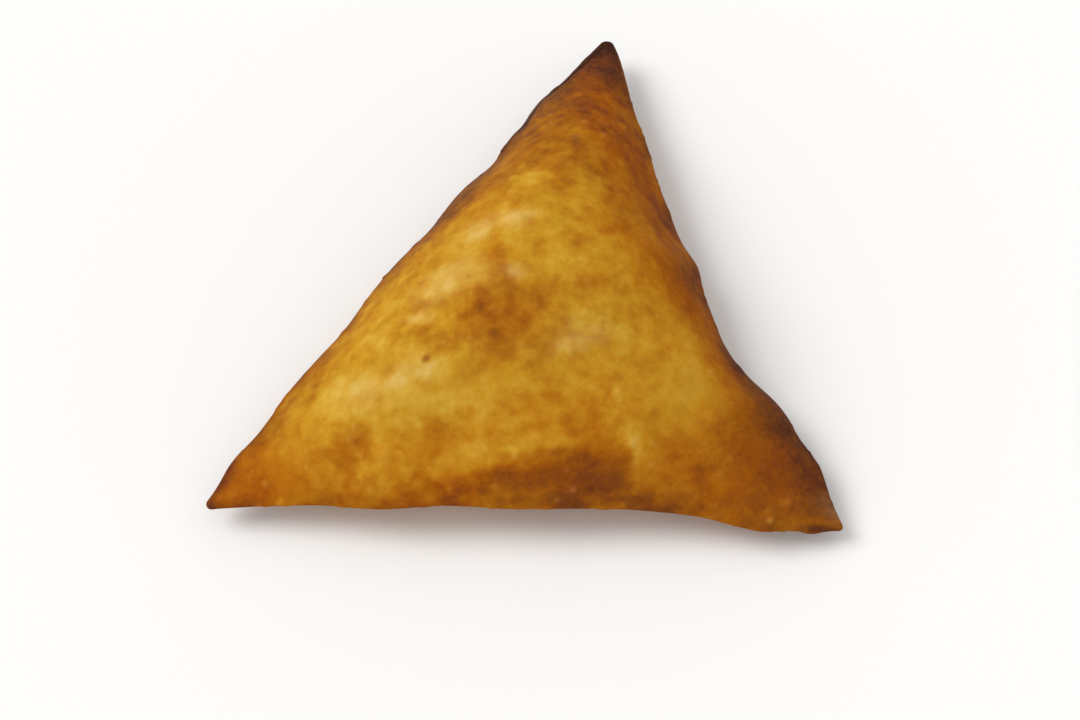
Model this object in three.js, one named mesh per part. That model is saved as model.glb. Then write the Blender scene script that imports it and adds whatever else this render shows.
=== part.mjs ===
// Samosa: one long strip of pastry folded corner over corner around a filling, then fried.
// It is a single closed body with a crowned top sheet, a thin folded rim that ends in three
// tips, and a belly that has settled flat where it lies.
//
// Millimetres, +Z up. The belly rests on Z = 0 and the origin is the middle of the outline's box.
//
// Any place inside the triangle is given by its shares of the three tips, which add up to 1.

import * as THREE from 'three';
import { mergeVertices } from 'three/addons/utils/BufferGeometryUtils.js';

// ---- driving sizes ----

// The centre of the folded pastry at each corner, and half its thickness there.
const tips = [
  { place: new THREE.Vector3(-48.3, -41.0, 4.5), radius: 0.7 }, // left tip
  { place: new THREE.Vector3(48.4, -44.2, 3.0), radius: 0.7 }, // right tip
  { place: new THREE.Vector3(13.7, 45.2, 5.5), radius: 1.45 }, // back tip, where all layers meet
];

// The folded edges, from tip to tip, anticlockwise seen from above. bow pushes the middle of an
// edge outward and arch lifts it. A swell is a local bulge, or a pinch where out is negative:
// at and width are parts of the edge's length.
const edges = [
  {
    from: 0, // front edge
    to: 1,
    bow: -0.1,
    arch: 4.5,
    swells: [
      { at: 0.27, out: 0.9, width: 0.07 },
      { at: 0.49, out: 0.5, width: 0.08 },
      { at: 0.7, out: -0.3, width: 0.08 },
      { at: 0.88, out: 1.5, width: 0.07 }, // lower side of the ear
      { at: 0.96, out: 1.4, width: 0.02 },
    ],
  },
  {
    from: 1, // right edge
    to: 2,
    bow: -5.8,
    arch: 5.0,
    swells: [
      { at: 0.1, out: 1.9, width: 0.05 }, // corner of the ear
      { at: 0.2, out: 1.7, width: 0.06 }, // upper side of the ear
      { at: 0.34, out: -1.0, width: 0.07 }, // notch above the ear
      { at: 0.5, out: 1.0, width: 0.04 }, // end of an inner layer
      { at: 0.62, out: 0.5, width: 0.06 },
      { at: 0.75, out: 0.6, width: 0.07 },
    ],
  },
  {
    from: 2, // left edge
    to: 0,
    bow: 0.1,
    arch: 5.0,
    swells: [
      { at: 0.16, out: 0.5, width: 0.03 },
      { at: 0.22, out: -0.3, width: 0.02 },
      { at: 0.31, out: -1.2, width: 0.05 },
      { at: 0.46, out: -0.7, width: 0.06 },
      { at: 0.68, out: -0.5, width: 0.05 },
      { at: 0.8, out: 0.3, width: 0.05 },
      { at: 0.94, out: 0.9, width: 0.035 },
    ],
  },
];
const tipFade = 8; // how closely bow and swells fade out at a tip, as a power
const edgeHold = 3; // how soon they fade out towards the opposite tip, as a power

// How far the top sheet stands above the fold line at its middle, and how far the belly would
// hang below it. fullness above 1 makes a sheet rise steeply from the rim and flatten inside.
const crown = { height: 14.4, fullness: 1.15 };
const belly = { height: 11.4, fullness: 1.4 };
const tipSlimness = 0.3; // larger makes both sheets hug the rim further in from a tip
const settling = 1.2; // the belly rounds into its flat spot over this much height

// Lumps of filling under the top sheet.
const lumps = [
  { x: -17, y: -24, reach: 12, rise: 0.9 },
  { x: 7, y: -31, reach: 10, rise: 0.6 },
  { x: 26, y: -30, reach: 8, rise: 0.8 },
  { x: 2, y: 2, reach: 10, rise: 0.7 },
  { x: 17, y: -6, reach: 9, rise: 0.8 },
  { x: 11, y: 22, reach: 8, rise: 0.6 },
  { x: -30, y: -34, reach: 8, rise: 0.5 },
];

// Soft valleys where the top sheet is pulled, from one point to another.
const creases = [
  { fromX: 35, fromY: -20, toX: 21, toY: -36, depth: 1.0, reach: 4.0 }, // inner side of the ear
  { fromX: 31, fromY: -8, toX: 20, toY: 12, depth: 0.5, reach: 3.5 }, // along the right edge
  { fromX: -8, fromY: 16, toX: 6, toY: 34, depth: 0.4, reach: 3.0 }, // below the back tip
];
const reliefFade = 5; // how closely lumps and creases fade out at the rim, as a power

// The last fold of the strip laps over the underside, from the left edge to the front edge.
const lap = { fromX: -0.2, fromY: 27, toX: -19.6, toY: -42.7, thickness: 1.1, softness: 1.2 };

// Facets: cells along each edge, facets round the rim, extra steps round a tip, and how closely
// the cells crowd towards the tips and the rim, as a power.
const cells = 44;
const rimSteps = 7;
const tipSteps = 6;
const crowding = 1.25;
const smallestFacet = 1e-4;

const crustColor = 0xb47c2a;

// ---- fold line ----

// Plan position on the straight line between an edge's tips.
function straightPoint(edge, along) {
  return tips[edge.from].place.clone().lerp(tips[edge.to].place, along).setZ(0);
}

// Distance that the fold line stands outside that straight line.
function edgeOffset(edge, along) {
  let offset = edge.bow * Math.sin(Math.PI * along);
  for (const swell of edge.swells) {
    offset += swell.out * Math.exp(-(((along - swell.at) / swell.width) ** 2));
  }
  return offset * (1 - (2 * along - 1) ** tipFade);
}

// The fold line's shift from the straight line, and its own outward direction.
function foldLine(edge, along) {
  const chord = straightPoint(edge, 1).sub(straightPoint(edge, 0));
  const outward = new THREE.Vector3(chord.y, -chord.x, 0).normalize();
  const step = 1e-4;
  const change = edgeOffset(edge, along + step) - edgeOffset(edge, along - step);
  const slope = change / (2 * step * chord.length());
  const shift = outward.clone().multiplyScalar(edgeOffset(edge, along));
  const normal = outward.addScaledVector(chord.normalize(), -slope).normalize();
  return { shift, normal };
}

function edgeShares(edge, along) {
  const shares = [0, 0, 0];
  shares[edge.from] = 1 - along;
  shares[edge.to] = along;
  return shares;
}

// Height of the fold line, carried across the inside of the triangle by the shares.
function foldHeight(shares) {
  let height = 0;
  tips.forEach((tip, index) => {
    height += tip.place.z * shares[index];
  });
  for (const edge of edges) {
    height += 4 * edge.arch * shares[edge.from] * shares[edge.to];
  }
  return height;
}

function foldRadius(shares) {
  return tips.reduce((sum, tip, index) => sum + tip.radius * shares[index], 0);
}

// ---- sheets ----

// Part of its full height that a sheet reaches, from 0 at the rim to 1 at the middle: the
// product of the three shares, over the sum of their products in pairs.
function swelling(shares, fullness) {
  const [first, second, third] = shares;
  const pairs = first * second + second * third + third * first;
  const inside = (9 * (1 + 3 * tipSlimness) * first * second * third) / (pairs + tipSlimness);
  return 1 - (1 - inside) ** fullness;
}

// Angle above the horizontal at which the rim's round section meets a sheet without a kink.
function meetingAngle(sheet, edge, along) {
  const pair = along * (1 - along);
  const climb = (9 * (1 + 3 * tipSlimness) * pair) / (pair + tipSlimness);
  const opposite = tips[3 - edge.from - edge.to].place.clone().setZ(0);
  const chord = straightPoint(edge, 1).sub(straightPoint(edge, 0));
  const altitude = opposite.sub(straightPoint(edge, 0)).cross(chord).length() / chord.length();
  const reach = altitude + edgeHold * edgeOffset(edge, along);
  return Math.PI / 2 - Math.atan((climb * sheet.height * sheet.fullness) / reach);
}

function lineDistance(x, y, line) {
  const from = new THREE.Vector2(line.fromX, line.fromY);
  const along = new THREE.Vector2(line.toX, line.toY).sub(from);
  const point = new THREE.Vector2(x, y).sub(from);
  const part = THREE.MathUtils.clamp(point.dot(along) / along.lengthSq(), 0, 1);
  return point.addScaledVector(along, -part).length();
}

function topRelief(x, y, shares) {
  let relief = 0;
  for (const lump of lumps) {
    relief += lump.rise * Math.exp(-(((x - lump.x) ** 2 + (y - lump.y) ** 2) / lump.reach ** 2));
  }
  for (const crease of creases) {
    relief -= crease.depth * Math.exp(-((lineDistance(x, y, crease) / crease.reach) ** 2));
  }
  return relief * swelling(shares, reliefFade);
}

// The lap hangs below the first layer on its right side.
function lapRelief(x, y, shares) {
  const along = new THREE.Vector2(lap.toX - lap.fromX, lap.toY - lap.fromY).normalize();
  const right = (y - lap.fromY) * along.x - (x - lap.fromX) * along.y;
  const step = THREE.MathUtils.smoothstep(right, -lap.softness, lap.softness);
  return lap.thickness * step * swelling(shares, reliefFade);
}

// Flattens what would hang below the resting plane, rounding into it.
function settle(height) {
  if (height <= -settling) {
    return 0;
  }
  return height < settling ? (height + settling) ** 2 / (4 * settling) : height;
}

// A point of the top sheet (side 1) or the belly (side -1). Each edge pulls it by the shift of
// the rim's edge there, the more the closer it is to that edge.
function sheetPoint(side, shares) {
  const sheet = side > 0 ? crown : belly;
  const point = new THREE.Vector3();
  tips.forEach((tip, index) => point.addScaledVector(tip.place, shares[index]));
  const radius = foldRadius(shares);
  let depth = radius + sheet.height * swelling(shares, sheet.fullness);
  for (const edge of edges) {
    const pair = shares[edge.from] + shares[edge.to];
    const along = pair > 0 ? shares[edge.to] / pair : 0;
    const pull = pair ** edgeHold;
    const angle = meetingAngle(sheet, edge, along);
    const { shift, normal } = foldLine(edge, along);
    point.addScaledVector(shift.addScaledVector(normal, radius * Math.cos(angle)), pull);
    depth -= radius * (1 - Math.sin(angle)) * pull;
  }
  if (side > 0) {
    return point.setZ(foldHeight(shares) + depth + topRelief(point.x, point.y, shares));
  }
  return point.setZ(settle(foldHeight(shares) - depth - lapRelief(point.x, point.y, shares)));
}

// ---- facets ----

const positions = [];

// Facets that shrink to nothing, as at a tip, are left out.
function addTriangle(first, second, third) {
  const corners = [first, second, third];
  const collapsed = corners.some((corner, index) => {
    return corner.distanceTo(corners[(index + 1) % 3]) < smallestFacet;
  });
  if (!collapsed) {
    corners.forEach((corner) => positions.push(corner.x, corner.y, corner.z));
  }
}

// A point of a sheet's triangular grid: row and column count cells away from the first tip.
function gridPoint(side, row, column) {
  const crowded = [cells - row - column, row, column].map((count) => count ** crowding);
  const sum = crowded[0] + crowded[1] + crowded[2];
  return sheetPoint(side, crowded.map((part) => part / sum));
}

function addSheet(side) {
  const add = side > 0 ? addTriangle : (first, second, third) => addTriangle(first, third, second);
  for (let row = 0; row < cells; row += 1) {
    for (let column = 0; column < cells - row; column += 1) {
      const ahead = gridPoint(side, row + 1, column);
      const beside = gridPoint(side, row, column + 1);
      add(gridPoint(side, row, column), ahead, beside);
      if (column < cells - row - 1) {
        add(ahead, gridPoint(side, row + 1, column + 1), beside);
      }
    }
  }
}

// One section of the rim: a round arc from the top sheet over the fold line to the belly.
function rimSection(edge, along, normal) {
  const shares = edgeShares(edge, along);
  const radius = foldRadius(shares);
  const fold = straightPoint(edge, along).add(foldLine(edge, along).shift);
  const top = meetingAngle(crown, edge, along);
  const bottom = -meetingAngle(belly, edge, along);
  const section = [];
  for (let step = 0; step <= rimSteps; step += 1) {
    const angle = THREE.MathUtils.lerp(top, bottom, step / rimSteps);
    const point = fold.clone().addScaledVector(normal, radius * Math.cos(angle));
    section.push(point.setZ(foldHeight(shares) + radius * Math.sin(angle)));
  }
  return section;
}

// Every edge's sections: first round the tip where it starts, then along it.
function rimSections() {
  const up = new THREE.Vector3(0, 0, 1);
  const sections = [];
  edges.forEach((edge, index) => {
    const before = foldLine(edges[(index + edges.length - 1) % edges.length], 1).normal;
    const turn = before.angleTo(foldLine(edge, 0).normal);
    for (let step = 0; step < tipSteps; step += 1) {
      const normal = before.clone().applyAxisAngle(up, (turn * step) / tipSteps);
      sections.push(rimSection(edge, 0, normal));
    }
    for (let cell = 0; cell < cells; cell += 1) {
      const along = cell ** crowding / (cell ** crowding + (cells - cell) ** crowding);
      sections.push(rimSection(edge, along, foldLine(edge, along).normal));
    }
  });
  return sections;
}

function addRim() {
  const sections = rimSections();
  sections.forEach((section, index) => {
    const next = sections[(index + 1) % sections.length];
    for (let step = 0; step < rimSteps; step += 1) {
      addTriangle(section[step], section[step + 1], next[step + 1]);
      addTriangle(section[step], next[step + 1], next[step]);
    }
  });
}

// ---- the samosa ----

function makeGeometry() {
  addSheet(1);
  addRim();
  addSheet(-1);
  const loose = new THREE.BufferGeometry();
  loose.setAttribute('position', new THREE.Float32BufferAttribute(positions, 3));
  const geometry = mergeVertices(loose, smallestFacet);
  geometry.computeBoundingBox();
  const middle = geometry.boundingBox.getCenter(new THREE.Vector3());
  geometry.translate(-middle.x, -middle.y, 0);
  geometry.computeVertexNormals();
  return geometry;
}

const crust = new THREE.MeshStandardMaterial({ color: crustColor, roughness: 0.55, metalness: 0 });
const samosa = new THREE.Mesh(makeGeometry(), crust);
samosa.name = 'samosa';

const group = new THREE.Group();
group.add(samosa);

export default group;
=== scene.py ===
# A fried samosa on a pale floor. One strip of pastry is folded corner over corner into a plump
# triangle; its crust is one closed mesh worked out with numpy.
import math

import bpy
import numpy as np
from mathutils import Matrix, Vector


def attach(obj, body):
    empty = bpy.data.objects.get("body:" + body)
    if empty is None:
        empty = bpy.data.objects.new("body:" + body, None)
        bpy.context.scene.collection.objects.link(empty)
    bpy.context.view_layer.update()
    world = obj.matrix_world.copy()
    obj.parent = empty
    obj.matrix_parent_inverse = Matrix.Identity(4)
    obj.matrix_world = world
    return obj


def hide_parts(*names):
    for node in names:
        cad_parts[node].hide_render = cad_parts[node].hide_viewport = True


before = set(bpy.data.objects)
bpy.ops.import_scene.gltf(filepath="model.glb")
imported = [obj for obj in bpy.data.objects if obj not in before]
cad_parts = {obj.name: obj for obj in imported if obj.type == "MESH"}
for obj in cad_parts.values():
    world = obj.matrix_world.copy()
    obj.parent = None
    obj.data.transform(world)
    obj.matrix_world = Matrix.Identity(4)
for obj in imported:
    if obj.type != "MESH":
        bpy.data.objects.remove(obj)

mm = 0.001
tiny = 1e-9  # keeps a division from failing where both shares are nothing
mixFactor, mixFrom, mixTo, mixResult = 0, 6, 7, 2  # a colour Mix node's sockets, which share their names
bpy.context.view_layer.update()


def linearColour(hexCode):
    # sRGB hex to linear: up to 0.04045 divide by 12.92, above it shift, scale and raise to 2.4
    channels = [int(hexCode[i:i + 2], 16) / 255 for i in (1, 3, 5)]
    return [c / 12.92 if c <= 0.04045 else ((c + 0.055) / 1.055) ** 2.4 for c in channels] + [1.0]


def addNode(tree, kind, settings=None, links=None):
    # settings go to the node's own properties, or else to its input sockets by name or number
    node = tree.nodes.new(kind)
    for key, value in (settings or {}).items():
        if isinstance(key, str) and hasattr(node, key):
            setattr(node, key, value)
        else:
            node.inputs[key].default_value = value
    for key, source in (links or {}).items():
        tree.links.new(source, node.inputs[key])
    return node


def newMaterial(name):
    material = bpy.data.materials.new(name)
    material.use_nodes = True
    material.node_tree.nodes.clear()
    return material, material.node_tree


def addObject(name, data):
    item = bpy.data.objects.new(name, data)
    bpy.context.collection.objects.link(item)
    return item


# camera, floor and lights, in metres
studio = {
    "elevation": 60.0,  # degrees above the horizon, looking along +Y
    "lens": 85.0,
    "sensorWidth": 36.0,
    "clipStart": 0.01,
    "distance": 0.402,
    "aim": (0.00232, -0.01778, 0.008),
    "floorSize": 8.0,
    "floorHex": "#f1f0ee",
    "floorFinish": {"Roughness": 0.9, "Specular IOR Level": 0.0},
    "worldHex": "#ffffff",
    "worldStrength": 0.72,
    "backdropStrength": 0.98,  # how bright the world itself shows, to go with the floor
    "lights": [  # far softboxes: name, direction towards the light, width in degrees, strength
        ("key", (-0.62, 0.12, 0.70), 34, 1.75),
    ],
}


def makeCamera():
    elevation = math.radians(studio["elevation"])
    back = Vector((0.0, -math.cos(elevation), math.sin(elevation)))
    data = bpy.data.cameras.new("camera")
    data.lens = studio["lens"]
    data.sensor_width = studio["sensorWidth"]
    data.clip_start = studio["clipStart"]
    camera = addObject("camera", data)
    camera.location = Vector(studio["aim"]) + back * studio["distance"]
    camera.rotation_euler = back.to_track_quat("Z", "Y").to_euler()
    bpy.context.scene.camera = camera


def makeFloor():
    # plain uncoated paper, which takes soft shadows and gives the eye no shine
    half = studio["floorSize"] / 2
    corners = [(-half, -half, 0), (half, -half, 0), (half, half, 0), (-half, half, 0)]
    mesh = bpy.data.meshes.new("floor")
    mesh.from_pydata(corners, [], [(0, 1, 2, 3)])
    material, tree = newMaterial("matt_paper")
    look = {"Base Color": linearColour(studio["floorHex"]), **studio["floorFinish"]}
    surface = addNode(tree, "ShaderNodeBsdfPrincipled", look)
    addNode(tree, "ShaderNodeOutputMaterial", None, {"Surface": surface.outputs[0]})
    mesh.materials.append(material)
    addObject("floor", mesh)


def makeLights():
    for name, towards, width, strength in studio["lights"]:
        data = bpy.data.lights.new(name, "SUN")
        data.angle = math.radians(width)
        data.energy = strength
        light = addObject(name, data)
        light.location = Vector(towards)
        light.rotation_euler = Vector(towards).to_track_quat("Z", "Y").to_euler()
    world = bpy.data.worlds.new("studio")
    world.use_nodes = True
    tree = world.node_tree
    tree.nodes.clear()
    seen = addNode(tree, "ShaderNodeLightPath").outputs["Is Camera Ray"]
    white = linearColour(studio["worldHex"])
    shades = [addNode(tree, "ShaderNodeBackground", {"Color": white, "Strength": studio[key]}).outputs[0]
              for key in ("worldStrength", "backdropStrength")]
    mixed = addNode(tree, "ShaderNodeMixShader", None, {0: seen, 1: shades[0], 2: shades[1]})
    addNode(tree, "ShaderNodeOutputWorld", None, {"Surface": mixed.outputs[0]})
    bpy.context.scene.world = world
    bpy.context.scene.view_settings.view_transform = "Standard"


makeCamera()
makeFloor()
makeLights()
print("camera, floor and lights made")

# shape of the samosa, in millimetres and as the CAD part has it
samosa = {
    "tips": [(-48.3, -41.0, 4.5), (48.4, -44.2, 3.0), (13.7, 45.2, 5.5)],  # left, right, back
    "radii": [0.7, 0.7, 1.45],  # half the folded pastry's thickness at each tip
    "tipFade": 8,  # power by which an edge's bow and swells end at its tips
    "edgeHold": 3,  # power by which an edge's pull on the sheets falls off inward
    "crown": (14.4, 1.15),  # height of the top sheet above the fold line, and its fullness
    "belly": (11.4, 1.4),
    "tipSlimness": 0.3,  # more keeps the tips flatter
    "settling": 1.2,  # height over which the belly rounds into its flat spot
    "reliefFade": 5,  # fullness of the swelling that fades relief out at the rim
    "cells": 280,  # along each edge
    "rimSteps": 12,  # from the top sheet over the fold to the belly
    "tipSteps": 12,  # round each tip
    "crowding": 1.12,  # above 1 it crowds the grid towards the edges
}

# each edge: from tip, to tip, bow outward, arch upward, swells as (place, out, width)
edges = [
    (0, 1, -0.1, 4.5, [(0.27, 0.9, 0.07), (0.49, 0.5, 0.08), (0.7, -0.3, 0.08), (0.88, 1.5, 0.07),
                       (0.96, 1.4, 0.02)]),
    (1, 2, -5.8, 5.0, [(0.1, 1.9, 0.05), (0.2, 1.7, 0.06), (0.34, -1.0, 0.07), (0.5, 1.0, 0.04),
                       (0.62, 0.5, 0.06), (0.75, 0.6, 0.07)]),
    (2, 0, 0.1, 5.0, [(0.16, 0.5, 0.03), (0.22, -0.3, 0.02), (0.31, -1.2, 0.05), (0.46, -0.7, 0.06),
                       (0.68, -0.5, 0.05), (0.8, 0.3, 0.05), (0.94, 0.9, 0.035)]),
]

# lumps of filling as (x, y, reach, rise); pulled valleys as (from, to, depth, reach)
lumps = [(-17, -24, 12, 0.9), (7, -31, 10, 0.6), (26, -30, 8, 0.8), (2, 2, 10, 0.7),
         (17, -6, 9, 0.8), (11, 22, 8, 0.6), (-30, -34, 8, 0.5)]
valleys = [((35, -20), (21, -36), 1.0, 4.0), ((31, -8), (20, 12), 0.5, 3.5), ((-8, 16), (6, 34), 0.4, 3.0)]
# the last fold's lap on the underside, which reaches towards +X from an edge between two points
lap = {"from": (-0.2, 27), "to": (-19.6, -42.7), "thickness": 1.1, "softness": 0.5}

tips = np.array(samosa["tips"], float)
radii = np.array(samosa["radii"])
frontEdge, leftEdge = 0, 2
slim = samosa["tipSlimness"]
fullScale = 9 * (1 + 3 * slim)  # brings the swelling to 1 in the middle, where each share is a third


def edgeOffset(edge, along):
    # bow times the sine of half a turn, plus a bell for each swell, faded out at both tips
    offset = edge[2] * np.sin(np.pi * along)
    for place, out, width in edge[4]:
        offset = offset + out * np.exp(-((along - place) / width) ** 2)
    return offset * (1 - (2 * along - 1) ** samosa["tipFade"])


def foldLine(edge, along):
    # the fold line's shift from the straight line between two tips, and its outward direction
    chord = (tips[edge[1]] - tips[edge[0]])[:2]
    length = np.linalg.norm(chord)
    outward = np.array([chord[1], -chord[0]]) / length
    step = 1e-4
    slope = (edgeOffset(edge, along + step) - edgeOffset(edge, along - step)) / (2 * step * length)
    normal = outward - slope[:, None] * chord / length
    return edgeOffset(edge, along)[:, None] * outward, normal / np.linalg.norm(normal, axis=1)[:, None]


def foldHeight(shares):
    # the tips' heights weighted by the shares, plus 4 times each edge's arch and its two shares
    height = shares @ tips[:, 2]
    for start, end, _, arch, _ in edges:
        height = height + 4 * arch * shares[:, start] * shares[:, end]
    return height


def swelling(shares, fullness):
    # 1 - (1 - inside)^fullness; inside is the shares' product over the sum of their products in
    # pairs and the slimness, scaled to 1 in the middle
    first, second, third = shares.T
    pairs = first * second + second * third + third * first
    inside = fullScale * first * second * third / (pairs + slim)
    return 1 - np.clip(1 - inside, 0, 1) ** fullness


def meetingAngle(sheet, edge, along):
    # angle above the horizontal at which the rim's round section meets a sheet without a kink: a
    # right angle less the angle at which the sheet climbs from the edge
    pair = along * (1 - along)
    climb = fullScale * pair / (pair + slim)
    start, end, opposite = tips[[edge[0], edge[1], 3 - edge[0] - edge[1]], :2]
    chord = end - start
    across = opposite - start
    altitude = abs(across[0] * chord[1] - across[1] * chord[0]) / np.linalg.norm(chord)
    reach = altitude + samosa["edgeHold"] * edgeOffset(edge, along)
    return np.pi / 2 - np.arctan(climb * sheet[0] * sheet[1] / reach)


def smoothStep(value, low, high):
    # 0 up to low, 1 from high on, and 3 part^2 - 2 part^3 between them
    part = np.clip((value - low) / (high - low), 0, 1)
    return part * part * (3 - 2 * part)


def lineDistance(x, y, start, end):
    # distance from the nearest point of the line between two points
    ax, ay = end[0] - start[0], end[1] - start[1]
    part = np.clip(((x - start[0]) * ax + (y - start[1]) * ay) / (ax * ax + ay * ay), 0, 1)
    return np.hypot(x - start[0] - part * ax, y - start[1] - part * ay)


def topRelief(x, y, shares):
    # a bell for each lump, less a bell across each valley, faded out at the rim
    height = np.zeros(len(x))
    for cx, cy, reach, rise in lumps:
        height += rise * np.exp(-((x - cx) ** 2 + (y - cy) ** 2) / reach ** 2)
    for start, end, depth, reach in valleys:
        height -= depth * np.exp(-(lineDistance(x, y, start, end) / reach) ** 2)
    return height * swelling(shares, samosa["reliefFade"])


def lapSide(x, y):
    # distance from the lap's edge, below zero where the lap doesn't reach
    ax, ay = np.subtract(lap["to"], lap["from"])
    return ((y - lap["from"][1]) * ax - (x - lap["from"][0]) * ay) / math.hypot(ax, ay)


def lapRelief(x, y, shares):
    # the lap's thickness, which sets in by a smooth step over its edge, faded out at the rim
    step = smoothStep(lapSide(x, y), -lap["softness"], lap["softness"])
    return lap["thickness"] * step * swelling(shares, samosa["reliefFade"])


def settle(height):
    # flattens what would hang below the resting plane, rounding into it by a parabola
    soft = samosa["settling"]
    rounded = (np.clip(height, -soft, soft) + soft) ** 2 / (4 * soft)
    return np.where(height < soft, rounded, height)


def sheetPoints(side, shares):
    # the tips weighted by the shares; each edge pulls a point by the shift of the rim's edge
    # there, times (1 - share of the opposite tip)^edgeHold
    sheet = samosa["crown"] if side > 0 else samosa["belly"]
    xy = shares @ tips[:, :2]
    radius = shares @ radii
    depth = radius + sheet[0] * swelling(shares, sheet[1])
    for edge in edges:
        pair = shares[:, edge[0]] + shares[:, edge[1]]
        along = shares[:, edge[1]] / np.maximum(pair, tiny)
        pull = pair ** samosa["edgeHold"]
        angle = meetingAngle(sheet, edge, along)
        shift, normal = foldLine(edge, along)
        xy += pull[:, None] * (shift + (radius * np.cos(angle))[:, None] * normal)
        depth -= radius * (1 - np.sin(angle)) * pull
    if side > 0:
        z = foldHeight(shares) + depth + topRelief(xy[:, 0], xy[:, 1], shares)
    else:
        z = settle(foldHeight(shares) - depth - lapRelief(xy[:, 0], xy[:, 1], shares))
    return np.column_stack([xy, z])


def triangleGrid(cells):
    # rows and columns count cells away from the first tip, and stop at the line between the others
    row, column = np.meshgrid(np.arange(cells + 1), np.arange(cells + 1), indexing="ij")
    inside = row + column <= cells
    number = np.full(row.shape, -1)
    number[inside] = np.arange(inside.sum())
    r, c = row[row + column < cells], column[row + column < cells]
    ahead = np.column_stack([number[r, c], number[r + 1, c], number[r, c + 1]])
    r, c = row[row + column < cells - 1], column[row + column < cells - 1]
    behind = np.column_stack([number[r + 1, c], number[r + 1, c + 1], number[r, c + 1]])
    return row[inside], column[inside], number, np.concatenate([ahead, behind])


def rimSections(number):
    # an arc from the top sheet over the fold line to the belly, round each tip, then along its edge
    cells, steps, tipSteps = samosa["cells"], samosa["rimSteps"], samosa["tipSteps"]
    sections, allShares, gridNumber = [], [], []
    count = np.concatenate([np.zeros(tipSteps, int), np.arange(cells)])
    crowded = count ** samosa["crowding"]
    along = crowded / (crowded + (cells - count) ** samosa["crowding"])
    for index, edge in enumerate(edges):
        before = foldLine(edges[index - 1], np.array([1.0]))[1][0]
        shift, normal = foldLine(edge, along)
        turn = math.acos(before @ normal[0]) * np.arange(tipSteps) / tipSteps
        normal[:tipSteps, 0] = before[0] * np.cos(turn) - before[1] * np.sin(turn)
        normal[:tipSteps, 1] = before[0] * np.sin(turn) + before[1] * np.cos(turn)
        shares = np.zeros((len(along), 3))
        shares[:, edge[0]], shares[:, edge[1]] = 1 - along, along
        top = meetingAngle(samosa["crown"], edge, along)
        bottom = -meetingAngle(samosa["belly"], edge, along)
        arc = top[:, None] + (bottom - top)[:, None] * np.linspace(0, 1, steps + 1)
        radius = (shares @ radii)[:, None]
        fold = shares @ tips[:, :2] + shift
        xy = fold[:, None, :] + normal[:, None, :] * (radius * np.cos(arc))[:, :, None]
        z = foldHeight(shares)[:, None] + radius * np.sin(arc)
        sections.append(np.concatenate([xy, z[:, :, None]], axis=2))
        allShares.append(shares)
        rows = (count, cells - count, 0 * count)[index]
        columns = (0 * count, count, cells - count)[index]
        gridNumber.append(number[rows, columns])
    return np.concatenate(sections), np.concatenate(allShares), np.concatenate(gridNumber)


def makeBody():
    # top sheet and belly are a triangle's grid each, and the rim's sections close the gap all round;
    # rim triangles that come to a line round a tip are left out
    cells, steps = samosa["cells"], samosa["rimSteps"]
    row, column, number, upward = triangleGrid(cells)
    crowded = np.column_stack([cells - row - column, row, column]) ** samosa["crowding"]
    sheetShares = crowded / crowded.sum(axis=1)[:, None]
    top, under = sheetPoints(1, sheetShares), sheetPoints(-1, sheetShares)
    sections, rimShares, gridNumber = rimSections(number)
    count = len(top)
    inner = sections[:, 1:-1].reshape(-1, 3)
    points = np.concatenate([top, under, inner])
    shares = np.concatenate([sheetShares, sheetShares, np.repeat(rimShares, steps - 1, axis=0)])
    index = np.empty((len(sections), steps + 1), int)
    index[:, 0], index[:, -1] = gridNumber, gridNumber + count
    index[:, 1:-1] = 2 * count + np.arange(len(inner)).reshape(len(sections), steps - 1)
    after = np.roll(index, -1, axis=0)
    a, b, c, d = index[:, :-1], index[:, 1:], after[:, 1:], after[:, :-1]
    rim = np.concatenate([np.stack([a, b, c], 2).reshape(-1, 3), np.stack([a, c, d], 2).reshape(-1, 3)])
    whole = (rim[:, 0] != rim[:, 1]) & (rim[:, 1] != rim[:, 2]) & (rim[:, 2] != rim[:, 0])
    faces = np.concatenate([upward, upward[:, ::-1] + count, rim[whole]])
    points[:, :2] -= (points[:, :2].min(axis=0) + points[:, :2].max(axis=0)) / 2
    return points, faces, shares


# fine relief of the crust, in millimetres
relief = {
    "clouds": [(14, 0.32, 11), (6, 0.15, 12), (2.6, 0.07, 13), (1.3, 0.04, 14)],  # spacing, rise, seed
    "rimShare": 0.45,  # part of the clouds' rise that is left at the thin rim
    # wrinkles lie in a band at these distances from the left edge
    "wrinkle": {"rise": 0.10, "length": 16, "width": 1.5, "from": 3.0, "fadeIn": 3.0, "to": 15.0,
                "fadeOut": 6.0, "seed": 21},
    # the lip starts at the back tip, where it is narrowest, and ends at this share of the left edge;
    # its width wavers by spacing, shift and seed
    "lip": {"rise": 0.5, "slope": 4.0, "softness": 0.2, "start": 0.0, "fadeIn": 0.05, "end": 0.236,
            "fadeOut": (0.04, 0.02), "width": 1.4, "narrowest": 0.6, "waver": (4, 0.25, 31)},
    "lapGroove": (0.35, 0.6),  # depth and half width, beside the lap's edge
    # small and middling blisters: number, least and most radius, rise, painted highlight on the top, seed
    "blisters": [(700, 0.5, 0.9, 0.09, 0.2, 41), (150, 1.0, 1.9, 0.14, 0.1, 42)],
    "blisterShare": (0.5, 1.5),  # least and most of that rise that one blister takes
    "largeFacing": 0.3,  # how far up the surface faces at least, where a large blister stands
    "facingUp": (0.0, 0.5),  # how far up it faces as wrinkles and lip set in
    "facingDown": (0.2, 0.7),  # how far down it faces as the lap's groove sets in
    "settled": (0.0, 1.5),  # heights over which all relief sets in, so that the flat spot stays flat
}
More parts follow.
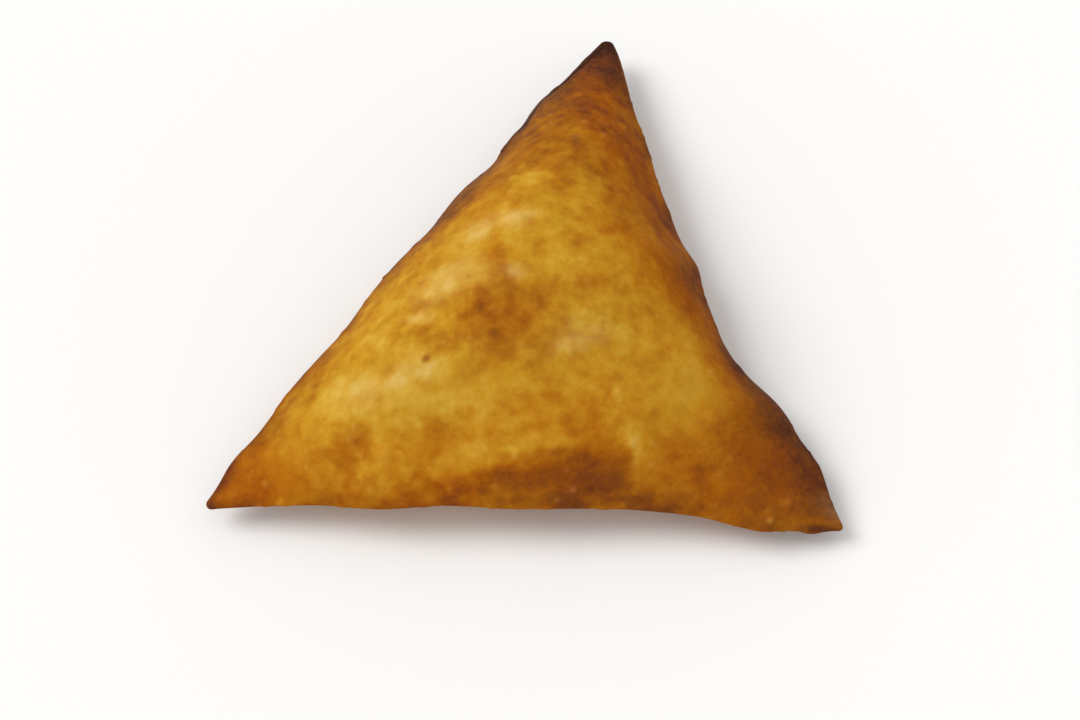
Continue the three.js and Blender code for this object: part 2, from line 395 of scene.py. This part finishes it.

# blisters that stand out on the top sheet: x, y, radius, rise, painted highlight on the top
largeBlisters = [
    (7.5, -42.3, 0.8, 0.20, 0.6), (5.0, -43.4, 0.6, 0.14, 0.45), (14, -31, 1.0, 0.16, 0.2),
    (16.3, -37, 1.1, 0.20, 0.2), (19.5, -39, 0.9, 0.16, 0.3), (-1.5, -38.8, 0.7, 0.14, 0.5),
    (-4.5, -41.8, 0.8, 0.12, 0.3), (37.5, -45, 0.8, 0.18, 0.6), (-2, -2, 2.6, 0.22, 0.1),
    (-2, -11.5, 2.2, 0.20, 0.1), (1.5, 8, 1.4, 0.18, 0.1), (7.5, -25, 2.4, 0.16, 0.0),
    (8, 17, 1.6, 0.20, 0.2), (-15.5, -18, 1.8, 0.15, 0.2), (9, 4, 1.8, 0.14, 0.0),
    (-12, -11, 3.2, 0.20, 0.0), (28, -33, 3.0, 0.20, 0.0), (-27, -37, 2.2, 0.16, 0.0),
    (4, 24.5, 1.0, 0.14, 0.35), (9.5, 21.5, 1.1, 0.14, 0.3), (12.5, 18.8, 1.2, 0.14, 0.2),
]


def vertexNormals(points, faces):
    # each face's cross product, added up at its corners and made one long
    corner = points[faces]
    cross = np.cross(corner[:, 1] - corner[:, 0], corner[:, 2] - corner[:, 0])
    total = np.column_stack([np.bincount(faces.ravel(), np.repeat(cross[:, axis], 3), len(points))
                             for axis in range(3)])
    return total / np.linalg.norm(total, axis=1)[:, None]


def latticeNoise(points, spacing, seed):
    # random numbers from -1 to 1 on a cubic lattice, joined by smooth steps
    size = 61
    lattice = np.random.default_rng(seed).uniform(-1, 1, (size, size, size))
    tilt = np.array([[0.36, 0.48, -0.8], [-0.8, 0.6, 0.0], [0.48, 0.64, 0.6]])  # lines up with no edge
    place = points @ tilt / spacing + size
    cell = np.floor(place).astype(int)
    part = place - cell
    part = part * part * (3 - 2 * part)
    total = np.zeros(len(points))
    for corner in np.ndindex(2, 2, 2):
        weight = np.prod(np.where(corner, part, 1 - part), axis=1)
        x, y, z = ((cell + corner) % size).T
        total += weight * lattice[x, y, z]
    return total


def noiseLayers(points, layers):
    # lattice noise of several spacings and sizes, added up
    return sum(size * latticeNoise(points, spacing, seed) for spacing, size, seed in layers)


def edgeDistance(shares, index):
    # distance from an edge: the share of the tip across from it, times the triangle's height there
    start, end = tips[edges[index][0], :2], tips[edges[index][1], :2]
    opposite = 3 - edges[index][0] - edges[index][1]
    chord, across = end - start, tips[opposite, :2] - start
    height = abs(chord[0] * across[1] - chord[1] * across[0]) / np.linalg.norm(chord)
    return shares[:, opposite] * height


def lipPlace(points, shares):
    # how far a point lies inside the top sheet's lip on the left edge, and where the lip runs
    lip = relief["lip"]
    along = shares[:, 0] / np.maximum(shares[:, 0] + shares[:, 2], tiny)
    before, after = lip["fadeOut"]
    run = smoothStep(along, lip["start"], lip["start"] + lip["fadeIn"])
    run *= 1 - smoothStep(along, lip["end"] - before, lip["end"] + after)
    width = lip["width"] * (lip["narrowest"] + (1 - lip["narrowest"]) * along / lip["end"])
    spacing, shift, seed = lip["waver"]
    width = width + shift * latticeNoise(points, spacing, seed)
    return edgeDistance(shares, leftEdge) - width, run


def wrinkles(points, shares):
    # noise drawn out along the left edge, in a band beside it
    wrinkle = relief["wrinkle"]
    chord = (tips[0] - tips[2])[:2] / np.linalg.norm((tips[0] - tips[2])[:2])
    along = points[:, :2] @ chord
    across = points[:, 0] * chord[1] - points[:, 1] * chord[0]
    drawn = np.column_stack([along / wrinkle["length"], across / wrinkle["width"], 0 * along])
    distance = edgeDistance(shares, leftEdge)
    band = smoothStep(distance, wrinkle["from"], wrinkle["from"] + wrinkle["fadeIn"])
    band *= 1 - smoothStep(distance, wrinkle["to"] - wrinkle["fadeOut"], wrinkle["to"])
    return wrinkle["rise"] * band * latticeNoise(drawn, 1, wrinkle["seed"])


def blisters(points, normals):
    # domes that rise by 1 - (distance / radius)^2, squared, and the painted highlight on their tops
    places = []
    least, most = relief["blisterShare"]
    for number, smallest, largest, rise, pale, seed in relief["blisters"]:
        random = np.random.default_rng(seed)
        for i in random.integers(0, len(points), number):
            radius = random.uniform(smallest, largest)
            share = random.uniform(least, most)
            places.append((points[i], radius, rise * share, pale * random.uniform(0, 1)))
    top = points[normals[:, 2] > relief["largeFacing"]]
    for x, y, radius, rise, pale in largeBlisters:
        nearest = np.argmin((top[:, 0] - x) ** 2 + (top[:, 1] - y) ** 2)
        places.append((top[nearest], radius, rise, pale))
    lift, paintedHighlight = np.zeros(len(points)), np.zeros(len(points))
    for centre, radius, rise, pale in places:
        reach = ((points - centre) ** 2).sum(axis=1) / radius ** 2
        near = reach < 1
        dome = (1 - reach[near]) ** 2
        lift[near] += rise * dome
        paintedHighlight[near] += pale * dome
    return lift, paintedHighlight


def crustRelief(points, normals, shares):
    # clouds and blisters all over; on top the wrinkles, and the lip, which steps up and then falls
    # away by exp(-distance / slope); below, a groove with a bell's section beside the lap
    body = relief["rimShare"] + (1 - relief["rimShare"]) * swelling(shares, samosa["reliefFade"])
    # the blisters also give the painted highlight on their tops
    lift, paintedHighlight = blisters(points, normals)
    rise = noiseLayers(points, relief["clouds"]) * body + lift
    upward = smoothStep(normals[:, 2], *relief["facingUp"])
    downward = smoothStep(-normals[:, 2], *relief["facingDown"])
    rise += upward * wrinkles(points, shares)
    inside, run = lipPlace(points, shares)
    lip = relief["lip"]
    step = smoothStep(inside, -lip["softness"], lip["softness"])
    rise += upward * run * lip["rise"] * (step * np.exp(-np.maximum(inside, 0) / lip["slope"]))
    groove, reach = relief["lapGroove"]
    rise -= downward * groove * np.exp(-((lapSide(points[:, 0], points[:, 1]) + reach) / reach) ** 2)
    return rise * smoothStep(points[:, 2], *relief["settled"]), paintedHighlight


# browning of the crust, with painted shade and painted highlights in places: tone is 0 where it
# is floury and pale and 1 where it is scorched, and warmth is 0 where it is gold and 1 where it is amber
frying = {
    "tone": 0.38,
    "clouds": [(9, 0.04, 51), (3.4, 0.09, 52), (1.7, 0.10, 53), (0.9, 0.07, 54)],  # spacing, tone, seed
    # how patches are pulled about: spacing, shift, seeds for its parts along x and y
    "ragged": [(6, 1.5, 61, 66), (2.2, 0.8, 62, 67), (0.9, 0.4, 63, 68)],
    "uneven": [(3, 0.14, 64), (1.2, 0.12, 65)],  # how unevenly patches take: spacing, part, seed
    "facingUp": (-0.3, 0.3),  # how far up it faces as the underside's patches give way to the top's
    "wrap": 3.5,  # how far the top sheet's patches reach round the fold onto the underside
    "rims": [(0.14, 1.0), (0.24, 1.4), (0.30, 1.0)],  # tone added at front, right and left fold, its reach
    "rimUneven": (5, 0.8, 66),  # how unevenly the folds take: spacing, part, seed
    "underTips": (0.25, 9.0),  # tone added below the tips, its reach
    # the layer below the lip, browned and darkened further as painted shade under the lip: tone added, how
    # far up it faces there, and where the lip covers it
    "lip": {"tone": 0.55, "facingUp": (-0.5, 0.1), "cover": (-0.5, 0.3)},
    # the lap: tone added at its edge, reach of that beside it and on it, tone added all over it,
    # and how the edge wavers by spacing, shift and seed
    "lap": {"edge": 0.22, "reach": 0.7, "reachOnLap": 2.8, "allOver": 0.06, "waver": (5, 0.5, 81)},
    "warmth": 0.27,
    "underWarmth": 0.2,  # warmth added on the underside
    "hues": [(5, 0.12, 71), (2.4, 0.18, 72)],  # how warmth varies: spacing, part, seed
    "paintedHighlight": (0.3, 0.35),  # painted highlight on the blister tops: tone taken off, and the whitish flour colour put on
    "flourUneven": 3,  # how much more unevenly flour takes than browning does
    # streaks along the front: their own length and width and how they climb to the right, then
    # how far in from the fold they reach, and the middle and half length of their band
    "streaks": {"tone": 0.16, "length": 9, "width": 0.9, "climb": 0.1, "reach": 11, "middle": 5,
                "half": 14, "seed": 91},
    "knee": (0.8, 0.3),  # above this tone the crust darkens less and less
}

# patches of the top sheet: x, y, half length, half width, turn in degrees, how far they take
brownAndShadePatches = [
    # back tip
    (13.4, 46, 5, 4.6, 0, 0.7), (13, 42.5, 6.5, 5, 70, 0.34), (10.5, 34, 13, 8, 66, 0.40),
    (9, 40, 6, 5, 66, 0.16), (2, 26, 9, 3.6, 54, 0.28), (7, 26.5, 3, 2, 70, 0.12),
    (15, 23, 3, 2, 110, 0.14), (17, 29, 9, 2.4, 105, 0.20), (6, 17, 9, 7, 60, 0.22),
    (9, 24, 7, 5, 60, 0.12), (14, 18, 6, 4, 110, 0.16), (14, 16.5, 3, 1.6, -20, 0.08),
    (5, 13, 4, 2.6, 60, 0.14), (10, 12, 5, 3, 0, 0.14),
    # left edge
    (0, 25.5, 12, 1.6, 54, 0.22), (-4, 17.5, 8, 3.2, 54, 0.22), (-10.5, 9.5, 8, 4, 54, 0.34),
    (-16, 2, 8, 3.6, 54, 0.26), (-26, -8, 7, 3, 54, 0.14), (-4, 8, 5, 3, 30, 0.20),
    (-24, -11, 8, 2.2, 54, 0.06), (-33, -22.5, 6, 3.4, 54, 0.22), (-41, -33, 6, 3.6, 54, 0.30),
    (-17, -12, 5, 2, 54, 0.06), (-2, 13, 4, 2.6, 30, 0.16),
    # right edge: browning, and painted shade where the flank turns from the light
    (19.5, 13, 12, 4, 110, 0.22), (25, -2, 12, 4.5, 108, 0.34), (24, -12, 6, 3.5, 112, 0.16),
    (17, -4.5, 6, 2.4, -38, 0.14), (15.5, 4, 4, 5, 0, 0.20), (12.5, 8, 2.5, 4, 0, 0.10),
    (12.5, -2, 4, 2, -20, 0.12), (5, 7.5, 2.0, 3, 0, 0.10), (20.5, -16, 5, 2.5, 111, 0.04),
    (26.5, -6, 6, 3, 105, 0.09), (17, 14, 4, 3, 110, 0.05),
    # middle
    (-4, -19, 5, 5.5, 0, 0.26), (4, -16.5, 4.5, 2.4, 10, 0.14), (3, -14, 3, 2.4, 0, 0.08),
    (-4.5, -9.5, 2.4, 4, 5, 0.20), (-3, -24.5, 5, 4, 0, 0.14), (-10, -22.5, 3.4, 2, 20, 0.16),
    (-15, -21.5, 3.5, 1.8, 0, 0.16), (4, -22.5, 3, 3, 0, 0.08), (11, -13.5, 4, 2.5, 0, 0.08),
    (10, -24, 4, 2.5, 0, 0.05), (-2, 3, 3, 2, 0, 0.08), (1, 5.5, 2.6, 1.8, 0, 0.08),
    (8, -7.5, 2, 1.5, 0, 0.04), (-9, 1.5, 2.4, 1.6, 54, 0.08), (-14.5, -15.5, 3, 1.6, 20, 0.16),
    (9, -32.5, 4, 2, 10, 0.08),
    # left tip
    (-46, -41, 6, 4, 20, 0.20), (-48.6, -41, 1.4, 1.3, 0, 0.04), (-38, -40, 7, 4, 10, 0.14),
    (-27.5, -37, 4, 2.6, 0, 0.24), (-17, -35, 5, 1.6, 5, 0.06), (-36, -30, 4, 2, 40, 0.06),
    # front
    (-15, -42.6, 8, 1.6, 0, 0.24), (5, -41.2, 13, 2.9, 2, 0.34), (7, -38.8, 8, 2, 4, 0.16),
    (24, -36.5, 3, 2, -10, 0.10), (-27, -43, 6, 1.2, 0, 0.06), (-5, -41.8, 6, 1.4, 0, 0.12),
    (12, -42, 7, 2.2, 0, 0.12), (17.5, -43, 5, 1.6, 0, 0.15),
    # right tip: browning, and painted shade in the bands along its right edge, where it turns from the light
    (32, -40.5, 12, 5.4, 0, 0.20), (33, -34, 6, 4, 20, 0.20), (25, -38, 6, 3.4, 10, 0.06),
    (41, -41, 9, 5.5, 0, 0.25), (38.5, -27, 13, 8, 122, 0.31), (42, -31.5, 12, 4.4, 119, 0.38),
    (36, -22, 6, 3, 120, 0.20), (24, -40.5, 4, 2.4, 0, 0.08), (20, -43.5, 14, 1.6, 0, 0.12),
    (40, -46, 8, 1.6, 0, 0.16), (46.5, -43.5, 3.4, 2.6, 0, 0.22),
]
palePatches = [
    (-12, -12, 5, 3, 15, 0.15), (11, 6, 2.4, 3, 0, 0.07), (-20, -27, 3, 2, 0, 0.08),
    (-8, -3, 2.2, 1.7, 30, 0.16), (-1.8, -2.2, 3, 1.5, 10, 0.16), (-2.6, -12, 2, 1.5, 10, 0.17),
    (9.5, -22.5, 4.5, 2.6, 10, 0.03), (7, -25.2, 3, 1.3, 15, 0.04), (46.8, -41.5, 2.4, 2.4, 0, 0.06),
    (-19, -28, 8, 2.4, 6, 0.15), (-12, -27.5, 4, 2, 0, 0.10), (-30, -30, 5, 3, 20, 0.10),
    (-20, -32, 7, 2, 5, 0.08), (-22, -23, 5, 2.5, 20, 0.05), (1, 8, 2.4, 1.4, 0, 0.17),
    (9, 3, 2.5, 2, 0, 0.10), (9.5, 29.5, 2, 1.4, 60, 0.10), (17.8, 34, 6, 1.8, 102, 0.12),
    (1, 23, 2.4, 1.6, 30, 0.12), (9, 18.5, 2.4, 1.6, 10, 0.10), (5, 21.5, 1.6, 1.0, 30, 0.08),
    (12.5, 23, 2, 1.2, 60, 0.08), (4.5, 11.5, 1.8, 1.4, 0, 0.10), (14, -31, 1.2, 0.9, 0, 0.14),
    (16.6, -37.6, 1.0, 2.4, 10, 0.16), (18, -39.3, 1.6, 1.4, 60, 0.16), (-48, -41, 2.5, 1.8, 0, 0.14),
    (-15.5, -18.2, 2, 1.2, 0, 0.12), (15, -22, 4, 3, 0, 0.08), (-7, -39.2, 6, 1.7, 0, 0.20),
    (18.5, -36.5, 3, 2.4, 0, 0.14), (-20, -40, 4, 1.6, 0, 0.12), (-9, -30.5, 6, 1.2, 8, 0.06),
    (-22, -36, 3, 2, 10, 0.10), (3, -10, 3, 3, 0, 0.06), (48, -43.6, 1.8, 1.2, 0, 0.10),
    (-38, -35, 2, 1.2, 0, 0.06), (26, -27, 4, 5, 0, 0.15), (-12, -33, 7, 1.2, 8, 0.08),
    (15, -28, 5, 2, 0, 0.05), (2, -37, 7, 1.2, 2, 0.10), (22, -31, 4, 2.5, 20, 0.06),
    (-22, -39, 3, 1.4, 0, 0.08), (14, -10, 3, 2, 0, 0.08), (-22, -18, 4, 1.6, 54, 0.06),
    (23.5, -18, 5, 2.4, 110, 0.09), (3, 21.5, 2.6, 1.6, 0, 0.08), (-2, -34.5, 5, 1.2, 5, 0.05),
]
flourPatches = [
    (-12, -12, 5, 3.5, 15, 0.25), (-7.5, -3, 3, 2, 30, 0.3), (-1.5, -2.3, 3, 1.7, 0, 0.38),
    (-2.6, -12, 1.9, 1.3, 10, 0.38), (9.5, -22.5, 4, 2.6, 10, 0.15), (6.5, -25, 2.6, 1.3, 15, 0.22),
    (46.8, -41.5, 2, 2, 0, 0.18), (-20, -28, 7, 2.6, 8, 0.25), (-15.5, -18.2, 2, 1.2, 0, 0.3),
    (16.6, -37.4, 0.9, 2, 10, 0.08), (3, 30, 5, 2, 54, 0.12), (48, -43.6, 1.8, 1.2, 0, 0.15),
]
# patches that turn from gold towards amber, and patches that turn back
warmPatches = [
    (18, 11, 20, 6, 110, 0.55), (22, -13, 12, 7, 112, 0.7), (29, -23, 8, 4, 120, 0.5),
    (13, 27, 13, 4.6, 98, 0.6), (15, -3, 6, 4, -30, 0.4), (11, 4, 5, 5, 0, 0.35),
    (-42, -39, 10, 5, 10, 0.8), (-28, -40, 12, 3.6, 0, 0.5), (-14, -40, 10, 5, 0, 0.75),
    (6, -38, 16, 7, 0, 0.6), (15, -33, 8, 4.4, 0, 0.5), (35, -39, 13, 7, 0, 0.6),
    (-5, -8, 2, 4, 0, 0.3), (9, -12, 3, 2, 0, 0.2), (-6, -20, 9, 4, 0, 0.25), (17, 14, 5, 4, 110, 0.5),
]
coolPatches = [
    (-8, 14, 12, 4, 54, 0.4), (-24, -6, 14, 4, 54, 0.35), (6, 35, 7, 3, 66, 0.35),
    (-18, -27, 12, 6, 0, 0.2), (7, -22, 9, 4, 0, 0.2), (45, -34, 5, 4, 120, 0.2),
]
# where the crust is smooth and even
calmPatches = [
    (36, -34, 17, 13, -30, 0.8), (22, -3, 20, 6, 110, 0.4), (-42, -38, 9, 6, 10, 0.6),
    (7, -42, 14, 3.4, 2, 0.5), (13.4, 42, 10, 8, 0, 0.85),
]
# small scorched spots with sharp edges
burntSpecks = [
    (-14.9, -26, 0.75, 0.6, 30, 0.55), (-8.6, -12.6, 0.35, 0.35, 0, 0.25), (7.6, -7.4, 0.9, 0.6, 0, 0.12),
    (45.2, -45.6, 2.4, 0.6, 3, 0.5),
]
# patches of the underside, browned on the flat spot, along the folds and at the tips
underPatches = [
    (-2, -16, 21, 13, 20, 0.16), (16, -22, 8, 6, 0, 0.20), (-14, -24, 9, 5, 30, 0.22),
    (4, 2, 7, 5, 80, 0.18), (11, 24, 14, 5, 80, 0.30), (13, 44, 8, 6, 0, 0.35),
    (-38, -37, 13, 5, 25, 0.30), (-48, -41, 5, 4, 0, 0.35), (38, -37, 12, 8, 0, 0.30),
    (47, -44, 6, 4, 0, 0.35), (-9, 8, 14, 3, 54, 0.16), (-26, -16, 12, 3, 54, 0.20),
    (22, 0, 16, 3, 108, 0.22), (32, -24, 8, 3, 120, 0.20), (-20, -40, 14, 2.4, 0, 0.14),
    (10, -41, 18, 2.6, 0, 0.20), (-6, -30, 6, 3, -20, 0.14), (25, -12, 5, 3, 60, 0.12),
    (-20, -8, 4, 2.4, 40, 0.12), (6, -8, 4, 3, 0, 0.12),
]


def patchField(x, y, patches):
    # each patch takes its part times exp(-r^2.5) of what is left by those before it; r is 1 on an ellipse
    left = np.ones(len(x))
    for cx, cy, length, width, turn, amount in patches:
        angle = math.radians(turn)
        u = ((x - cx) * math.cos(angle) + (y - cy) * math.sin(angle)) / length
        v = ((y - cy) * math.cos(angle) - (x - cx) * math.sin(angle)) / width
        left *= 1 - amount * np.exp(-np.hypot(u, v) ** 2.5)
    return 1 - left


def frontStreaks(points, shares):
    # noise drawn out along the front edge, times exp(-r^4) of the distances from edge and middle
    streak = frying["streaks"]
    along, distance = points[:, 0], edgeDistance(shares, frontEdge)
    across = distance - streak["climb"] * along
    drawn = np.column_stack([along / streak["length"], across / streak["width"], 0 * along])
    away = np.hypot(distance / streak["reach"], (along - streak["middle"]) / streak["half"])
    return streak["tone"] * np.exp(-away ** 4) * latticeNoise(drawn, 1, streak["seed"])


def brownFolds(tone, points, normals, shares, under):
    # adds tone by exp(-distance / reach) at the folds and below the tips, evenly on the layer below
    # the lip as browning and painted shade under it, and by exp(-(distance / reach)^2) at the lap's edge
    spacing, size, seed = frying["rimUneven"]
    taken = 1 + size * latticeNoise(points, spacing, seed)
    for index, (added, reach) in enumerate(frying["rims"]):
        tone = tone + added * taken * np.exp(-edgeDistance(shares, index) / (reach * taken))
    added, reach = frying["underTips"]
    for tip in tips:
        tone = tone + under * added * np.exp(-np.hypot(points[:, 0] - tip[0], points[:, 1] - tip[1]) / reach)
    lip = frying["lip"]
    inside, run = lipPlace(points, shares)
    # the layer below the lip: browning, and painted shade under the lip
    lowerLayerAndShade = smoothStep(normals[:, 2], *lip["facingUp"]) * run * (1 - smoothStep(inside, *lip["cover"]))
    tone = tone + lip["tone"] * lowerLayerAndShade * (1 + taken) / 2
    lapped = frying["lap"]
    spacing, shift, seed = lapped["waver"]
    side = lapSide(points[:, 0] + shift * latticeNoise(points, spacing, seed), points[:, 1])
    away = np.where(side > 0, side / lapped["reachOnLap"], side / lapped["reach"])
    onLap = smoothStep(side, -lapped["reach"], lapped["reach"])
    return tone + under * (lapped["edge"] * np.exp(-away ** 2) + lapped["allOver"] * onLap)


def crustColouring(points, normals, shares, paintedHighlight):
    # tone, warmth and flour at each point, from patches with ragged edges, folds, streaks and
    # clouds, with painted shade under the lip and along the right flank and painted highlights on the
    # blister tops; above the knee, tone nears 1 by an exponential
    x, y = points[:, 0].copy(), points[:, 1].copy()
    rim = np.min([edgeDistance(shares, index) for index in range(3)], axis=0)
    top = np.maximum(smoothStep(normals[:, 2], *frying["facingUp"]), np.exp(-(rim / frying["wrap"]) ** 2))
    under = 1 - top
    lively = 1 - top * patchField(x, y, calmPatches)
    for spacing, shift, alongX, alongY in frying["ragged"]:
        x += lively * shift * latticeNoise(points, spacing, alongX)
        y += lively * shift * latticeNoise(points, spacing, alongY)
    clouds, uneven, hues = (noiseLayers(points, frying[key]) for key in ("clouds", "uneven", "hues"))
    patches = patchField(x, y, brownAndShadePatches) - patchField(x, y, palePatches)
    patches = top * patches + under * patchField(x, y, underPatches)
    tone = frying["tone"] + lively * clouds + (1 + lively * uneven) * patches
    tone += top * patchField(points[:, 0], points[:, 1], burntSpecks)
    tone = brownFolds(tone, points, normals, shares, under)
    warmth = frying["warmth"] + hues + under * frying["underWarmth"]
    warmth += top * (patchField(x, y, warmPatches) - patchField(x, y, coolPatches))
    # painted highlights on the blister tops: paler tone and a whitish mix
    highlightToneCut, highlightWhitening = frying["paintedHighlight"]
    tone += top * frontStreaks(points, shares) - highlightToneCut * paintedHighlight
    broken = np.maximum(1 + frying["flourUneven"] * uneven, 0)
    # flour patches, plus the painted highlights on the blister tops
    flourAndHighlight = top * broken * patchField(x, y, flourPatches) + highlightWhitening * paintedHighlight
    knee, ease = frying["knee"]
    tone = np.where(tone > knee, 1 - (1 - knee) * np.exp((knee - tone) / ease), tone)
    return np.clip(tone, 0, 1), np.clip(warmth, 0, 1), np.clip(flourAndHighlight, 0, 1)


def putMesh(name, points, faces, fields):
    # whole arrays become a smooth mesh in metres, with each field on its points
    mesh = bpy.data.meshes.new(name)
    mesh.vertices.add(len(points))
    mesh.vertices.foreach_set("co", (points * mm).astype(np.float32).ravel())
    mesh.loops.add(3 * len(faces))
    mesh.loops.foreach_set("vertex_index", faces.astype(np.int32).ravel())
    mesh.polygons.add(len(faces))
    mesh.polygons.foreach_set("loop_start", np.arange(0, 3 * len(faces), 3, dtype=np.int32))
    mesh.polygons.foreach_set("use_smooth", np.ones(len(faces), dtype=bool))
    mesh.update(calc_edges=True)
    for key, values in fields.items():
        mesh.attributes.new(key, "FLOAT", "POINT").data.foreach_set("value", values.astype(np.float32))
    return addObject(name, mesh)


# colours and finish of the crust; the ramps go from tone 0 to 1, at warmth 0 and at warmth 1
crust = {
    "goldRamp": [(0.0, "#d1ad61"), (0.17, "#c59d3a"), (0.33, "#ba8a23"), (0.5, "#a9721b"),
                 (0.68, "#935a15"), (0.85, "#734319"), (0.95, "#532f1f"), (1.0, "#3c2217")],
    "amberRamp": [(0.0, "#d2a84e"), (0.17, "#cb962d"), (0.33, "#bf831e"), (0.5, "#b06b13"),
                  (0.68, "#9b520e"), (0.85, "#7b3d17"), (0.95, "#552b1e"), (1.0, "#3e2117")],
    # whitish colour of flour, also used for the painted highlights on blister tops
    "flourAndHighlightHex": "#ecd0b4",
    "flourAndHighlightCover": 0.22,
    "mottle": (2.6, 0.10),  # size in mm and how much tone it shifts
    "speckle": (0.7, 0.10),
    "mottleNoise": {"Detail": 3.0, "Roughness": 0.6},
    "roughness": (0.55, 0.40),  # pale dough and browned crust
    "bubble": (1.1, 0.08),  # size and height in mm
    "grain": (0.45, 0.045),
    "bumpDetail": 2.0,
    "finish": {"Specular IOR Level": 0.005, "Specular Tint": (1.0, 0.75, 0.45, 1.0),
               "Subsurface Weight": 0.08, "Subsurface Radius": (1.0, 0.4, 0.12),
               "Subsurface Scale": 0.0012},
}


def makePastryMaterial():
    # fried wheat pastry: rolled dough that blistered in hot oil and drained, which gives the eye a
    # nearly matt crust, soft gold where it fried least and deep brown where the folds took most heat
    material, tree = newMaterial("fried_wheat_pastry")
    place = addNode(tree, "ShaderNodeTexCoord").outputs["Object"]
    # tone holds browning with painted shade and painted highlights; the whitish mix holds flour and painted
    # highlights
    tone, warmth, flourAndHighlight = (addNode(tree, "ShaderNodeAttribute", {"attribute_name": key}).outputs["Fac"]
                           for key in ("tone", "warmth", "flourAndHighlight"))
    for size, shift in (crust["mottle"], crust["speckle"]):
        look = {"Scale": 1 / (size * mm), **crust["mottleNoise"]}
        noise = addNode(tree, "ShaderNodeTexNoise", look, {"Vector": place}).outputs["Fac"]
        shifted = addNode(tree, "ShaderNodeMapRange", {"To Min": -shift, "To Max": shift}, {"Value": noise})
        tone = addNode(tree, "ShaderNodeMath", {"operation": "ADD"},
                       {0: tone, 1: shifted.outputs[0]}).outputs[0]
    colours = []
    for stops in (crust["goldRamp"], crust["amberRamp"]):
        ramp = addNode(tree, "ShaderNodeValToRGB", None, {"Fac": tone})
        elements = ramp.color_ramp.elements
        while len(elements) < len(stops):
            elements.new(0.5)  # each gets its own place below
        for element, (position, hexCode) in zip(elements, stops):
            element.position = position
            element.color = linearColour(hexCode)
        colours.append(ramp.outputs["Color"])
    gold, amber = colours
    fried = addNode(tree, "ShaderNodeMix", {"data_type": "RGBA"},
                    {mixFactor: warmth, mixFrom: gold, mixTo: amber}).outputs[mixResult]
    # the whitish mix: flour, and the painted highlights on blister tops
    cover = addNode(tree, "ShaderNodeMath", {"operation": "MULTIPLY", 1: crust["flourAndHighlightCover"]}, {0: flourAndHighlight})
    look = {"data_type": "RGBA", mixTo: linearColour(crust["flourAndHighlightHex"])}
    colour = addNode(tree, "ShaderNodeMix", look,
                     {mixFactor: cover.outputs[0], mixFrom: fried}).outputs[mixResult]
    pale, browned = crust["roughness"]
    rough = addNode(tree, "ShaderNodeMapRange", {"To Min": pale, "To Max": browned}, {"Value": tone})
    normal = None
    for size, height in (crust["bubble"], crust["grain"]):
        look = {"Scale": 1 / (size * mm), "Detail": crust["bumpDetail"]}
        links = {"Height": addNode(tree, "ShaderNodeTexNoise", look, {"Vector": place}).outputs["Fac"]}
        if normal:
            links["Normal"] = normal
        normal = addNode(tree, "ShaderNodeBump", {"Distance": height * mm}, links).outputs[0]
    surface = addNode(tree, "ShaderNodeBsdfPrincipled", crust["finish"],
                      {"Base Color": colour, "Roughness": rough.outputs[0], "Normal": normal})
    addNode(tree, "ShaderNodeOutputMaterial", None, {"Surface": surface.outputs[0]})
    return material


# the samosa itself
points, faces, shares = makeBody()
normals = vertexNormals(points, faces)
rise, paintedHighlight = crustRelief(points, normals, shares)
points = points + rise[:, None] * normals
tone, warmth, flourAndHighlight = crustColouring(points, normals, shares, paintedHighlight)
print("crust worked out:", len(points), "points,", len(faces), "triangles")

piece = putMesh("samosa_pastry", points, faces, {"tone": tone, "warmth": warmth, "flourAndHighlight": flourAndHighlight})
piece.data.materials.append(makePastryMaterial())
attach(piece, "root")
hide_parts("samosa")
print("samosa made")
